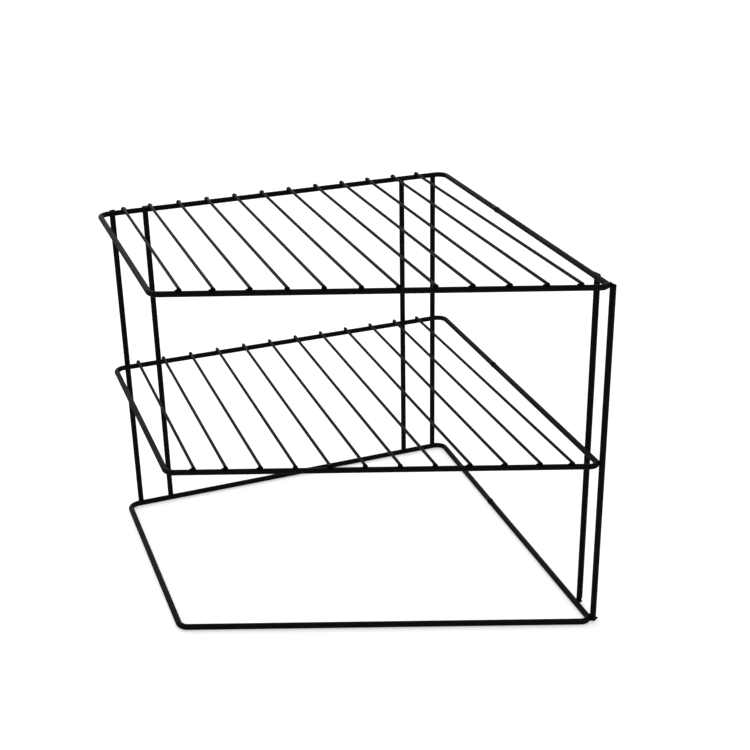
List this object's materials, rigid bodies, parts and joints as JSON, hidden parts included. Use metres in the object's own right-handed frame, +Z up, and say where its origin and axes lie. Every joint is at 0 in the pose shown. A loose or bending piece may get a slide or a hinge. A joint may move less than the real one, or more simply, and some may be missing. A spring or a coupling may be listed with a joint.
{
  "type": "tiered corner shelf",
  "caption": "Free-standing welded wire corner shelf for a cabinet: open wire decks over a base ring, held by upright wires at the corners with one front corner left open.",
  "frame": {"origin": "middle of the footprint, on the floor that the base ring stands on", "axes": "+X to the right along the back wall side, +Y towards the back wall, +Z up; the slanted open front faces -Y and the short end faces -X"},
  "size_m": [0.2638, 0.2722, 0.2321],
  "materials": {
    "coated_wire": "semi-matte black coating over steel wire"
  },
  "bodies": {
    "root": {"base_ring": "coated_wire", "mid_ring": "coated_wire", "top_ring": "coated_wire", "upright_left_outer": "coated_wire", "upright_left_inner": "coated_wire", "upright_rear_inner": "coated_wire", "upright_rear_outer": "coated_wire", "upright_front_inner": "coated_wire", "upright_front_outer": "coated_wire", "mid_crosswire_01": "coated_wire", "mid_crosswire_02": "coated_wire", "mid_crosswire_03": "coated_wire", "mid_crosswire_04": "coated_wire", "mid_crosswire_05": "coated_wire", "mid_crosswire_06": "coated_wire", "mid_crosswire_07": "coated_wire", "mid_crosswire_08": "coated_wire", "mid_crosswire_09": "coated_wire", "mid_crosswire_10": "coated_wire", "mid_crosswire_11": "coated_wire", "mid_crosswire_12": "coated_wire", "top_crosswire_01": "coated_wire", "top_crosswire_02": "coated_wire", "top_crosswire_03": "coated_wire", "top_crosswire_04": "coated_wire", "top_crosswire_05": "coated_wire", "top_crosswire_06": "coated_wire", "top_crosswire_07": "coated_wire", "top_crosswire_08": "coated_wire", "top_crosswire_09": "coated_wire", "top_crosswire_10": "coated_wire", "top_crosswire_11": "coated_wire", "top_crosswire_12": "coated_wire"}
  },
  "joints": []
}
